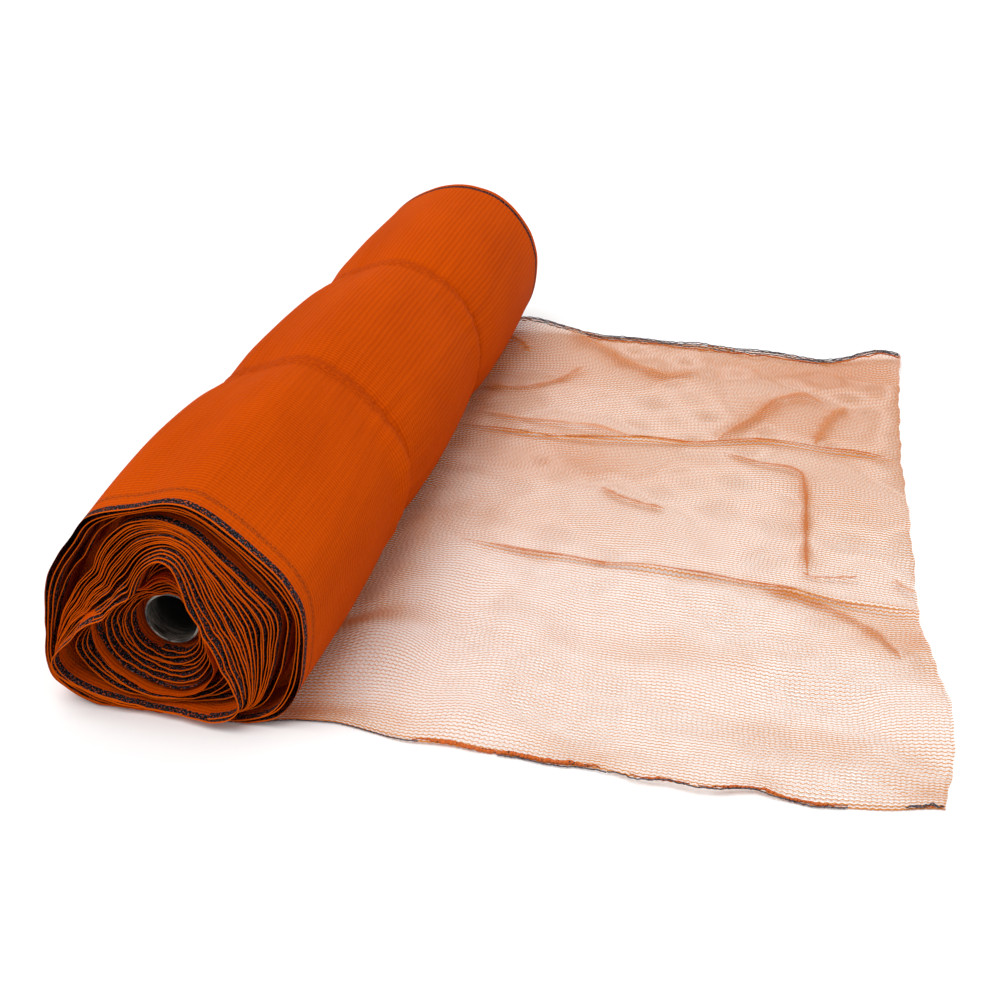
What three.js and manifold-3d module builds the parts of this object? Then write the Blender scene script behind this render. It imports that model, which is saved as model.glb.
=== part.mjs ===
// A roll of debris netting that lies on the floor, partly unrolled: knitted orange netting,
// wound slackly on a plastic tube, with a loose end that runs out over the floor to +X.
// Millimetres, +Z up. The roll lies along Y, its near end is at -Y, and the origin is on the
// floor, under the middle of the roll's length.

import * as THREE from 'three';
import { mergeVertices } from 'three/addons/utils/BufferGeometryUtils.js';
import Module from 'manifold-3d';

// Netting
const netWidth = 2000;          // from selvedge to selvedge, which is the roll's length
const woundThickness = 176;     // mean thickness of the wound turns, out from the tube
const turnsShown = 11;          // ridges that stand for the turns on each end of the roll
const turnGroove = 16;          // depth of the groove between two such ridges
const bundleProud = 26;         // how far the slipped bundle of turns stands out at the near end
const innerTurnCover = 20;      // how far the first turn reaches past the tube's near end
const farEndCup = 34;           // how far the middle turns lie back at the far end

// Tube
const tubeDiameter = 108;
const tubeWall = 4;
const tubeRecess = 78;          // from the netting's edge back to the tube's end, at each end
const tubeOffset = -55;         // the tube's axis, to the left of the roll's middle
const seatGap = 0.3;            // between the tube and the first turn

// Knitted bands, at a third and two thirds of the width, that squeeze the roll
const bandSqueeze = 13;
const bandReach = 95;           // half the length of roll that one band pulls in
const bellyRise = 7;            // how far the roll swells between two bands
const shoulderSwell = 17;       // how far the slack near third swells on its upper left
const shoulderPlace = -560;     // the middle of that swelling, along the roll
const shoulderReach = 330;

// Loose end
const looseThickness = 3;
const looseReach = 1305;        // from the roll's middle to the cut end
const cornerFlare = 72;         // how much further the near corner of the cut end reaches
const flarePlace = -760;        // the middle of that corner's bow, along the roll
const flareReach = 270;
const swellHeight = 13;         // soft swells of the cloth as it lies on the floor
const swellLength = 740;        // from one swell to the next, away from the roll
const swellWidth = 1070;        // and along the roll
const bandRidge = 7;            // the gathered ridge along each knitted band
const ridgeReach = 26;
const nearDrift = 34;           // how far the near selvedge wanders sideways
const farDrift = 62;            // how far the far selvedge is drawn in
const driftLength = 810;        // from a selvedge's furthest place out to its furthest in
const edgeLift = 38;            // the far selvedge's hump beside the roll
const liftPlace = 245;          // the middle of that hump, out from the roll's middle
const liftReach = 75;
const layFlat = 200;            // the loose end lies flat up to here, under the roll's side

// Thickness of the wound turns in each direction, as shares of woundThickness: twelve
// directions, 30 degrees apart, from +X over the top and round under the roll
const nearRim = [1.29, 1.41, 1.38, 1.22, 1.08, 0.95, 0.92, 1.08, 0.76, 0.66, 0.80, 1.20];
const nearArch = [1.03, 1.18, 1.20, 1.10, 0.78, 0.66, 0.78, 0.89, 0.64, 0.58, 0.69, 0.98];
const nearPeak = [0.52, 0.47, 0.73, 0.48, 0.30, 0.36, 0.57, 0.74, 0.52, 0.47, 0.59, 0.80];
const nearLoop = [0.21, 0.20, 0.34, 0.30, 0.20, 0.24, 0.42, 0.40, 0.38, 0.38, 0.40, 0.38];
const farRim = [1.40, 1.52, 1.36, 1.14, 0.97, 0.82, 0.76, 0.80, 0.76, 0.66, 0.80, 1.22];
const floorShare = 0.63;        // the same share, straight down from the tube to the floor
const bottomPack = 30;          // least height of the first turn over the floor, mm

// Facets
const around = 36;
const tubeSides = 48;
const lengthSteps = 18;
const sheetColumns = 26;
const sheetRows = 24;

const tubeRadius = tubeDiameter / 2;
const tubeHeight = tubeRadius + woundThickness * floorShare;
const boreRadius = tubeRadius + seatGap;
const halfWidth = netWidth / 2;
const bandPlace = netWidth / 6;

const smooth = (x) => {
  const t = THREE.MathUtils.clamp(x, 0, 1);
  return t * t * (3 - 2 * t);
};
const hump = (x, middle, reach) => Math.exp(-(((x - middle) / reach) ** 2));

// Share in one direction, on a closed curve through the twelve given ones
function shareAt(shares, angle) {
  const n = shares.length;
  const place = ((angle / (2 * Math.PI)) * n + n) % n;
  const i = Math.floor(place);
  const t = place - i;
  const [a, b, c, d] = [-1, 0, 1, 2].map((step) => shares[(i + step + n) % n]);
  const slopeIn = (c - a) / 2;
  const slopeOut = (d - b) / 2;
  const bend = 2 * (b - c) + slopeIn + slopeOut;
  return b + t * (slopeIn + t * (3 * (c - b) - 2 * slopeIn - slopeOut + t * bend));
}

// The winding's outlines at the near end, from the tube (level 0) to the outside (level 1)
const loopLevel = 0.32;
const peakLevel = 0.58;
const archLevel = 0.86;
const nearOutlines = [
  { level: loopLevel, shares: nearLoop },
  { level: peakLevel, shares: nearPeak },
  { level: archLevel, shares: nearArch },
  { level: 1, shares: nearRim },
];
const farOutlines = [{ level: 1, shares: farRim }];

function outlineShare(outlines, angle, level) {
  let below = { level: 0, share: 0 };
  for (const outline of outlines) {
    const here = { level: outline.level, share: shareAt(outline.shares, angle) };
    if (level <= here.level) {
      const t = (level - below.level) / (here.level - below.level);
      return THREE.MathUtils.lerp(below.share, here.share, t);
    }
    below = here;
  }
  return below.share;
}

// How far the outer turns swell or are pulled in: by the knitted bands, between them, and on
// the upper left of the slack near third
function swellAt(angle, y) {
  const pull = hump(y, -bandPlace, bandReach) + hump(y, bandPlace, bandReach);
  const belly = Math.cos((3 * Math.PI * y) / netWidth) ** 2;
  const upperLeft = Math.max(0, Math.cos(angle - THREE.MathUtils.degToRad(125)));
  const shoulder = shoulderSwell * upperLeft * hump(y, shoulderPlace, shoulderReach);
  return bellyRise * belly - bandSqueeze * pull + shoulder;
}

// One point of the winding: at this angle round the tube, level in the turns, and length
function windingPoint(angle, level, y) {
  const along = smooth((y + halfWidth) / netWidth);
  const near = outlineShare(nearOutlines, angle, level);
  const far = outlineShare(farOutlines, angle, level);
  const share = THREE.MathUtils.lerp(near, far, along);
  const radius = boreRadius + woundThickness * share + swellAt(angle, y) * level;
  const x = tubeOffset + radius * Math.cos(angle);
  const z = tubeHeight + radius * Math.sin(angle);
  return [x, y, Math.max(z, bottomPack * (1 - level))];
}

// How far the turns' edges stand out of the near end at a level, negative where they lie back
function nearStandOut(level) {
  const slipped = bundleProud * hump(level, (peakLevel + archLevel) / 2, archLevel - peakLevel);
  const fallen = (tubeRecess - innerTurnCover) * (1 - smooth(level / loopLevel));
  return slipped - fallen;
}
const farStandOut = (level) => -farEndCup * (1 - smooth(level));

// Half section of the winding, as a closed loop of level and length: out along the near end,
// with a crest and a groove for each turn, back along the outside, and in along the far end
function windingSection() {
  const section = [];
  const zigzag = (sign, standOut) => {
    const points = [];
    for (let turn = 0; turn < turnsShown; turn++) {
      const crest = (turn + 0.5) / turnsShown;
      const groove = (turn + 1) / turnsShown;
      points.push([crest, sign * (halfWidth + standOut(crest))]);
      if (turn < turnsShown - 1) {
        points.push([groove, sign * (halfWidth + standOut(groove) - turnGroove)]);
      }
    }
    return points;
  };
  section.push([0, -(halfWidth + nearStandOut(0))]);
  section.push(...zigzag(-1, nearStandOut));
  for (let step = 0; step <= lengthSteps; step++) {
    section.push([1, netWidth * (step / lengthSteps - 0.5)]);
  }
  section.push(...zigzag(1, farStandOut).reverse());
  section.push([0, halfWidth + farStandOut(0)]);
  return section;
}

// A mesh from a grid of points that closes on itself in both directions
function closedGrid(rows, columns, pointAt) {
  const positions = [];
  for (let row = 0; row < rows; row++) {
    for (let column = 0; column < columns; column++) positions.push(...pointAt(row, column));
  }
  const index = [];
  for (let row = 0; row < rows; row++) {
    const nextRow = (row + 1) % rows;
    for (let column = 0; column < columns; column++) {
      const nextColumn = (column + 1) % columns;
      const a = row * columns + column;
      const b = row * columns + nextColumn;
      const c = nextRow * columns + nextColumn;
      const d = nextRow * columns + column;
      index.push(a, c, b, a, d, c);
    }
  }
  const geometry = new THREE.BufferGeometry();
  geometry.setAttribute('position', new THREE.Float32BufferAttribute(positions, 3));
  geometry.setIndex(index);
  return geometry;
}

function windingGeometry() {
  const section = windingSection();
  return closedGrid(section.length, around, (row, column) => {
    const [level, y] = section[row];
    return windingPoint((2 * Math.PI * column) / around, level, y);
  });
}

// Underside of the loose end: flat under the roll, then low swells, a ridge along each knitted
// band, and a hump in the far selvedge
function looseUnderside(x, v) {
  const clear = smooth((x - layFlat) / layFlat);
  const across = (2 * Math.PI * x) / swellLength;
  const along = (2 * Math.PI * v) / swellWidth;
  const swell = Math.sin(across + 1.6 * along) * Math.cos(along - 0.4 * across);
  const ridge = hump(Math.abs(v), bandPlace, ridgeReach);
  const lift = edgeLift * hump(x, liftPlace, liftReach) * smooth(3 * (v / halfWidth) - 2);
  return Math.max(0, clear * (swellHeight * swell + bandRidge * ridge) + lift);
}

// How far each selvedge lies off its straight line, fading out towards the middle
function edgeDrift(x, v) {
  const wave = Math.cos((Math.PI * (x - layFlat)) / driftLength);
  const edge = smooth((x - layFlat / 2) / layFlat) * (v / halfWidth) ** 4;
  return edge * (v < 0 ? nearDrift * wave : (farDrift * (wave - 1)) / 2);
}

// The loose end as a closed slab: a grid over the cloth, upper side first
function looseEndGeometry() {
  const start = tubeOffset;
  const surface = (i, j, lift) => {
    const v = netWidth * (j / sheetRows - 0.5);
    const reach = looseReach + cornerFlare * hump(v, flarePlace, flareReach);
    const x = THREE.MathUtils.lerp(start, reach, i / sheetColumns);
    return [x, v + edgeDrift(x, v), looseUnderside(x, v) + lift];
  };
  const ring = 2 * (sheetColumns + 1);
  const positions = [];
  for (let j = 0; j <= sheetRows; j++) {
    for (let i = 0; i <= sheetColumns; i++) positions.push(...surface(i, j, looseThickness));
    for (let i = sheetColumns; i >= 0; i--) positions.push(...surface(i, j, 0));
  }
  const index = [];
  for (let j = 0; j < sheetRows; j++) {
    for (let i = 0; i < ring; i++) {
      const next = (i + 1) % ring;
      const [a, b] = [j * ring + i, j * ring + next];
      const [c, d] = [(j + 1) * ring + next, (j + 1) * ring + i];
      index.push(a, b, c, a, c, d);
    }
  }
  const last = sheetRows * ring;
  for (let i = 0; i < sheetColumns; i++) {
    const [upper, under] = [i, ring - 1 - i];
    index.push(upper, under, upper + 1, upper + 1, under, under - 1);
    index.push(last + upper, last + upper + 1, last + under);
    index.push(last + upper + 1, last + under - 1, last + under);
  }
  const geometry = new THREE.BufferGeometry();
  geometry.setAttribute('position', new THREE.Float32BufferAttribute(positions, 3));
  geometry.setIndex(index);
  return geometry;
}

// A plain tube along Y, turned from its wall's section
function tubeGeometry() {
  const inner = tubeRadius - tubeWall;
  const half = halfWidth - tubeRecess;
  const wall = [
    [inner, -half],
    [tubeRadius, -half],
    [tubeRadius, half],
    [inner, half],
    [inner, -half],
  ];
  const profile = wall.map(([radius, y]) => new THREE.Vector2(radius, y));
  const geometry = new THREE.LatheGeometry(profile, tubeSides);
  geometry.deleteAttribute('normal');
  geometry.deleteAttribute('uv');
  const merged = mergeVertices(geometry);
  merged.translate(tubeOffset, 0, tubeHeight);
  return merged;
}

const wasm = await Module();
wasm.setup();

function toSolid(geometry) {
  const vertProperties = Float32Array.from(geometry.attributes.position.array);
  const triVerts = Uint32Array.from(geometry.index.array);
  return new wasm.Manifold(new wasm.Mesh({ numProp: 3, vertProperties, triVerts }));
}

function toGeometry(solid) {
  const mesh = solid.getMesh();
  const geometry = new THREE.BufferGeometry();
  const positions = Float32Array.from(mesh.vertProperties);
  geometry.setAttribute('position', new THREE.BufferAttribute(positions, 3));
  geometry.setIndex(new THREE.BufferAttribute(Uint32Array.from(mesh.triVerts), 1));
  geometry.computeVertexNormals();
  return geometry;
}

const nettingCloth = new THREE.MeshStandardMaterial({
  color: 0xd25a0c,
  roughness: 0.8,
  metalness: 0,
});
const greyPlastic = new THREE.MeshStandardMaterial({
  color: 0x55554f,
  roughness: 0.45,
  metalness: 0,
});

// One cloth: the wound turns and the loose end that leaves them along the floor
function netting() {
  const solid = toSolid(windingGeometry()).add(toSolid(looseEndGeometry()));
  const mesh = new THREE.Mesh(toGeometry(solid), nettingCloth);
  mesh.name = 'netting';
  return mesh;
}

function coreTube() {
  const mesh = new THREE.Mesh(tubeGeometry(), greyPlastic);
  mesh.name = 'core_tube';
  return mesh;
}

const roll = new THREE.Group();
roll.add(netting(), coreTube());

export default roll;
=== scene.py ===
import math

import bpy
import numpy as np
from mathutils import Matrix, Vector


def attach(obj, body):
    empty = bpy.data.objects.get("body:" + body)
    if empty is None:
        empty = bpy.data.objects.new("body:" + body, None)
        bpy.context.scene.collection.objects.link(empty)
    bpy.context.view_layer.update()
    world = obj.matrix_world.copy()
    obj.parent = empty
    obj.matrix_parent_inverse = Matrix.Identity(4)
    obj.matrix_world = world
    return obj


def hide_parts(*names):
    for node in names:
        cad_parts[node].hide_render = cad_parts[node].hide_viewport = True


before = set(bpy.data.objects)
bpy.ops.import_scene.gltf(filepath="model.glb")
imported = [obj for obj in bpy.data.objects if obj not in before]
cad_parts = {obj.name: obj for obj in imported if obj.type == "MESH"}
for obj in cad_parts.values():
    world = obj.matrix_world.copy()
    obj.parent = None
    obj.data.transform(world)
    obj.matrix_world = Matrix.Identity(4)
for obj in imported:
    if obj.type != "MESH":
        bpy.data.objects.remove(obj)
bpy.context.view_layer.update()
print("frame loaded, nodes:", ", ".join(sorted(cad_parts)))


def newObject(name, data):
    thing = bpy.data.objects.new(name, data)
    bpy.context.scene.collection.objects.link(thing)
    return thing


# Camera: where the photograph was taken from, in metres and degrees.
cameraView = {
    "x": 1.0809,
    "y": -3.0303,
    "z": 1.6540,
    "turnLeft": 13.375,
    "lookDown": 28.431,
    "tilt": -1.233,
    "lens": 52.87,
    "filmWidth": 36.0,
}


def placeCamera(view):
    # The camera looks along a level heading turned left of +Y, tipped down, then rolled about its own axis.
    turn, down, tilt = (math.radians(view[k]) for k in ("turnLeft", "lookDown", "tilt"))
    ahead = Vector((-math.sin(turn) * math.cos(down), math.cos(turn) * math.cos(down), -math.sin(down)))
    level = ahead.cross(Vector((0, 0, 1))).normalized()
    over = level.cross(ahead)
    right = level * math.cos(tilt) + over * math.sin(tilt)
    up = over * math.cos(tilt) - level * math.sin(tilt)
    data = bpy.data.cameras.new("photographView")
    data.lens = view["lens"]
    data.sensor_width = view["filmWidth"]
    data.clip_end = 100
    camera = newObject("photographView", data)
    camera.matrix_world = Matrix.Translation((view["x"], view["y"], view["z"])) @ Matrix(
        (right, up, -ahead)
    ).transposed().to_4x4()
    bpy.context.scene.camera = camera


placeCamera(cameraView)
print("camera placed")


# Cloth and roll: sizes that several pieces share, in millimetres unless they say otherwise.
cloth = {
    "width": 2000.0,  # selvedge to selvedge
    "rowPitch": 9.0,  # one knitted row to the next, across the width
    "stitchPitch": 12.5,  # one stitch to the next, along the length
    "axisX": -55.0,  # the core tube's axis
    "axisZ": 164.88,
    "tubeRadius": 54.4,
    "floorGap": 3.5,  # the wound cloth's lowest turn above the floor, where the loose end passes under it
    "bandPlace": 333.3,  # the two reinforcing bands, each side of mid-width
}
bands = (-cloth["bandPlace"], cloth["bandPlace"])

# Outlines of the wound turns on the near end, read from the photograph as (x, z) in millimetres:
# the outermost turn, the outside of the arch of turns within it, the outside and the inside of the
# proud folded bundle, and the loop of turns round the tube.
nearOutlines = {
    "rim": [(174, 27), (214, 90), (228, 162), (234, 259), (216, 306), (155, 369), (82, 430), (46, 454),
            (17, 456), (-63, 432), (-155, 408), (-181, 367), (-221, 318), (-254, 255), (-262, 205),
            (-272, 150), (-283, 95), (-280, 58), (-244, 24), (-190, 4), (-100, 3), (0, 3), (104, 4)],
    "arch": [(128, 40), (160, 105), (181, 176), (194, 224), (189, 250), (146, 298), (92, 353), (20, 409),
             (-19, 418), (-77, 408), (-129, 363), (-160, 302), (-213, 237), (-248, 171), (-262, 110),
             (-257, 70), (-215, 40), (-160, 19), (-50, 9), (60, 11)],
    "foldOut": [(116, 46), (122, 100), (116, 150), (92, 215), (70, 268), (52, 322), (36, 366), (0, 383),
                (-50, 366), (-92, 318), (-128, 270), (-182, 212), (-232, 160), (-262, 112), (-258, 74),
                (-222, 44), (-170, 22), (-60, 12), (50, 14)],
    "foldIn": [(106, 52), (83, 140), (55, 210), (33, 261), (24, 313), (17, 345), (-11, 355), (-47, 327),
               (-73, 266), (-129, 223), (-202, 167), (-256, 112), (-250, 83), (-215, 56), (-165, 34),
               (-105, 23), (-25, 18), (30, 19), (80, 30)],
    "loop": [(40, 151), (34, 205), (18, 250), (-1, 285), (-25, 293), (-66, 268), (-140, 225), (-184, 176),
             (-180, 131), (-150, 84), (-110, 60), (-60, 44), (-12, 47), (20, 64), (48, 105)],
}
# The outermost turn on the far end, read the same way.
farOutline = [(250, 253), (220, 330), (150, 407), (85, 433), (9, 438), (-70, 416), (-135, 380), (-177, 342),
              (-203, 296), (-231, 256), (-243, 212), (-247, 160), (-245, 110), (-228, 72), (-205, 40),
              (-170, 16), (-120, 5), (-40, 3), (40, 3), (120, 6), (170, 20), (205, 60), (232, 105), (248, 180)]


def smooth(t):
    t = np.clip(t, 0, 1)
    return t * t * (3 - 2 * t)


def hump(x, middle, reach):
    # A bell: 1 at the middle, falling to about a third one reach away.
    return np.exp(-(((x - middle) / reach) ** 2))


everyDirection = np.arange(720) * 2 * np.pi / 720  # in which a table gives an outline's radius


def aroundAxis(angle, radius):
    # x and z at an angle and a radius about the tube's axis.
    return cloth["axisX"] + radius * np.cos(angle), cloth["axisZ"] + radius * np.sin(angle)


def stacked(*parts):
    return np.stack(np.broadcast_arrays(*parts), -1)


def offSide(angle, side):
    # How many degrees the angle lies from a side, between -180 and 180.
    return (np.degrees(angle) - side + 180) % 360 - 180


def radiusAround(outline, easing):
    # The outline as a radius about the tube's axis for each direction, counted from +X over the top:
    # straight between the points that were read, then averaged over a few degrees.
    points = np.array(outline, float)
    across, above = points[:, 0] - cloth["axisX"], points[:, 1] - cloth["axisZ"]
    direction, radius = np.arctan2(above, across) % (2 * np.pi), np.hypot(across, above)
    order = np.argsort(direction)
    level = np.interp(everyDirection, direction[order], radius[order], period=2 * np.pi)
    wave = np.fft.rfft(level)
    turnsOfWave = np.arange(len(wave))
    return np.fft.irfft(wave * np.exp(-0.5 * (turnsOfWave * math.radians(easing)) ** 2), len(level))


def readRadius(table, angle):
    return np.interp(angle % (2 * np.pi), everyDirection, table, period=2 * np.pi)


def readTrace(points, place, easing):
    # A value along a traced line: straight between its points, then averaged over the easing distance.
    points = np.array(points, float)
    first, last = points[0, 0] - 4 * easing, points[-1, 0] + 4 * easing
    every = np.arange(first, last)
    line = np.interp(every, points[:, 0], points[:, 1])
    bell = np.exp(-0.5 * (np.arange(-3 * easing, 3 * easing + 1) / easing) ** 2)
    line = np.convolve(np.pad(line, 3 * easing, mode="edge"), bell / bell.sum(), "valid")
    return np.interp(place, every, line)


def softNoise(seed, angle, count=9):
    # A smooth random wave of the angle, between about -1 and 1: a few sines with seeded sizes and phases.
    chance = np.random.default_rng(seed)
    size, phase = chance.normal(size=count), chance.uniform(0, 2 * np.pi, count)
    wave = sum(size[k] * np.sin((k + 1) * angle + phase[k]) / (1 + 0.25 * k) for k in range(count))
    return wave / 2.5


def clothMesh(name, grid, uv, wrap=False, shade=None):
    # A surface given as a grid of points in millimetres, as a function of two parameters, made into a mesh
    # in metres. uv is each point's place on the flat cloth in metres, and with wrap its last column
    # belongs to the first column of points, where the surface closes.
    rows, columns = grid.shape[:2]
    r, c = np.meshgrid(np.arange(rows - 1), np.arange(columns if wrap else columns - 1), indexing="ij")
    nextC = (c + 1) % columns
    here, above = r * columns, (r + 1) * columns
    corners = np.stack([here + c, here + nextC, above + nextC, above + c], -1).reshape(-1, 4)
    wide = uv.shape[1]
    uvCorners = np.stack([r * wide + c, r * wide + c + 1, (r + 1) * wide + c + 1, (r + 1) * wide + c], -1)
    mesh = bpy.data.meshes.new(name)
    mesh.vertices.add(rows * columns)
    mesh.vertices.foreach_set("co", (grid / 1000).astype(np.float32).ravel())
    mesh.loops.add(corners.size)
    mesh.loops.foreach_set("vertex_index", corners.astype(np.int32).ravel())
    mesh.polygons.add(len(corners))
    mesh.polygons.foreach_set("loop_start", np.arange(0, corners.size, 4, dtype=np.int32))
    mesh.polygons.foreach_set("loop_total", np.full(len(corners), 4, np.int32))
    mesh.polygons.foreach_set("use_smooth", np.ones(len(corners), bool))
    layer = mesh.uv_layers.new(name="clothPlace")
    layer.data.foreach_set("uv", uv.reshape(-1, 2)[uvCorners.reshape(-1)].astype(np.float32).ravel())
    for key, values in (shade or {}).items():
        mesh.attributes.new(key, "FLOAT", "POINT").data.foreach_set("value", values.astype(np.float32).ravel())
    mesh.update()
    mesh.validate()
    return newObject(name, mesh)


def headings(path):
    # The unit direction of a path at each of its points.
    ahead = np.gradient(path, axis=0)
    return ahead / np.linalg.norm(ahead, axis=1, keepdims=True)


def tubeAlong(name, path, radius, sides, uvLength):
    # A round section carried along a path: at each point of the path a circle square to it, whose radius
    # may change along the path. The path is in millimetres.
    ahead = headings(path)
    side = np.cross(ahead, [0.0, 0.0, 1.0])
    side /= np.linalg.norm(side, axis=1, keepdims=True)
    over = np.cross(side, ahead)
    around = np.arange(sides) * 2 * np.pi / sides
    reach = np.broadcast_to(np.asarray(radius, float), len(path))[:, None, None]
    ring = side[:, None] * np.cos(around)[None, :, None] + over[:, None] * np.sin(around)[None, :, None]
    grid = path[:, None] + ring * reach
    grid[0], grid[-1] = path[0], path[-1]
    uv = stacked(uvLength[:, None], np.arange(sides + 1)[None] / sides * 0.01)
    return clothMesh(name, grid[:, ::-1], uv, wrap=True)


# Materials. The helpers add their nodes to the material that startMaterial began last.
current = {}


def newNode(kind):
    return current["tree"].nodes.new(kind)


def link(source, socket):
    current["tree"].links.new(source, socket)


def startMaterial(name):
    material = bpy.data.materials.new(name)
    material.use_nodes = True
    current["tree"] = material.node_tree
    material.node_tree.nodes.clear()
    out, shader = newNode("ShaderNodeOutputMaterial"), newNode("ShaderNodeBsdfPrincipled")
    link(shader.outputs[0], out.inputs[0])
    return material, shader


def feed(socket, value):
    # A socket takes a number, a colour or another node's output.
    if isinstance(value, (int, float)):
        socket.default_value = value
    elif isinstance(value, tuple):
        socket.default_value = (*value, 1)
    else:
        link(value, socket)


def setSockets(node, values):
    for key, value in values.items():
        feed(node.inputs[key], value)


def mathNode(operation, first, second=None, clamp=False):
    node = newNode("ShaderNodeMath")
    node.operation = operation
    node.use_clamp = clamp
    feed(node.inputs[0], first)
    if second is not None:
        feed(node.inputs[1], second)
    return node.outputs[0]


def times(first, second):
    return mathNode("MULTIPLY", first, second)


def plus(first, second, clamp=False):
    return mathNode("ADD", first, second, clamp=clamp)


def minus(first, second):
    return mathNode("SUBTRACT", first, second)


def higher(first, second, clamp=False):
    return mathNode("MAXIMUM", first, second, clamp=clamp)


def offMiddle(place):
    # 0 on the middle of each whole step of the place, 1 half a step away from it.
    return times(mathNode("ABSOLUTE", minus(mathNode("FRACT", place), 0.5)), 2.0)


def sineEvery(place, pitch):
    # A sine of a place in metres that repeats every pitch, which is in millimetres.
    return mathNode("SINE", times(place, 2 * math.pi / (pitch / 1000)))


def rangeNode(value, low, high, outLow=0.0, outHigh=1.0):
    node = newNode("ShaderNodeMapRange")
    node.interpolation_type = "SMOOTHSTEP"
    setSockets(node, {"Value": value, "From Min": low, "From Max": high, "To Min": outLow, "To Max": outHigh})
    return node.outputs[0]


def mixColour(share, first, second):
    node = newNode("ShaderNodeMix")
    node.data_type = "RGBA"
    for place, value in ((0, share), (6, first), (7, second)):
        feed(node.inputs[place], value)
    return node.outputs[2]


def noiseNode(vector, scale, detail=2.0, rough=0.5, stretch=None):
    if stretch:
        mapping = newNode("ShaderNodeMapping")
        mapping.inputs["Scale"].default_value = stretch
        link(vector, mapping.inputs["Vector"])
        vector = mapping.outputs[0]
    node = newNode("ShaderNodeTexNoise")
    setSockets(node, {"Vector": vector, "Scale": scale, "Detail": detail, "Roughness": rough})
    return node.outputs["Fac"]


def bandMask(value, low, high, edge):
    # 1 between low and high, easing to 0 over the edge width on either side.
    rise = rangeNode(value, low - edge, low + edge)
    fall = rangeNode(value, high - edge, high + edge, 1.0, 0.0)
    return times(rise, fall)


def flatPlace():
    # The point's place on the flat cloth in metres: along its length, and across it from the near selvedge.
    place = newNode("ShaderNodeUVMap")
    place.uv_map = "clothPlace"
    return place.outputs[0]


def splitPlace(place):
    split = newNode("ShaderNodeSeparateXYZ")
    link(place, split.inputs[0])
    return split.outputs[0], split.outputs[1]


def objectPlace():
    return newNode("ShaderNodeTexCoord").outputs["Object"]


def attributeNode(name):
    node = newNode("ShaderNodeAttribute")
    node.attribute_name = name
    return node.outputs["Fac"]


def addBump(shader, height, strength, distance):
    bump = newNode("ShaderNodeBump")
    bump.inputs["Strength"].default_value = strength
    bump.inputs["Distance"].default_value = distance
    link(height, bump.inputs["Height"])
    link(bump.outputs[0], shader.inputs["Normal"])


woundLook = {
    # lit is the cloth's orange; deep is a darker copy of it, painted shade in the gaps between rows and stitches
    # and random darker tone elsewhere
    "lit": (0.585, 0.073, 0.0003),
    "deep": (0.34, 0.033, 0.0003),
    "rim": (0.60, 0.088, 0.001),
    "band": (0.34, 0.034, 0.0005),
    "selvedge": (0.009, 0.007, 0.008),
    "speck": (0.11, 0.115, 0.15),
    "dotted": (0.13, 0.03, 0.008),
    "roughness": 0.85,
    # metres on the cloth: half of a band, and from the cloth's edge the dotted rows and the black selvedges
    "bandHalf": 0.030,
    "dottedRows": (0.048, 0.060),
    "nearSelvedge": (0.0045, 0.022),
    "farSelvedge": (0.017, 0.035),
}


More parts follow.
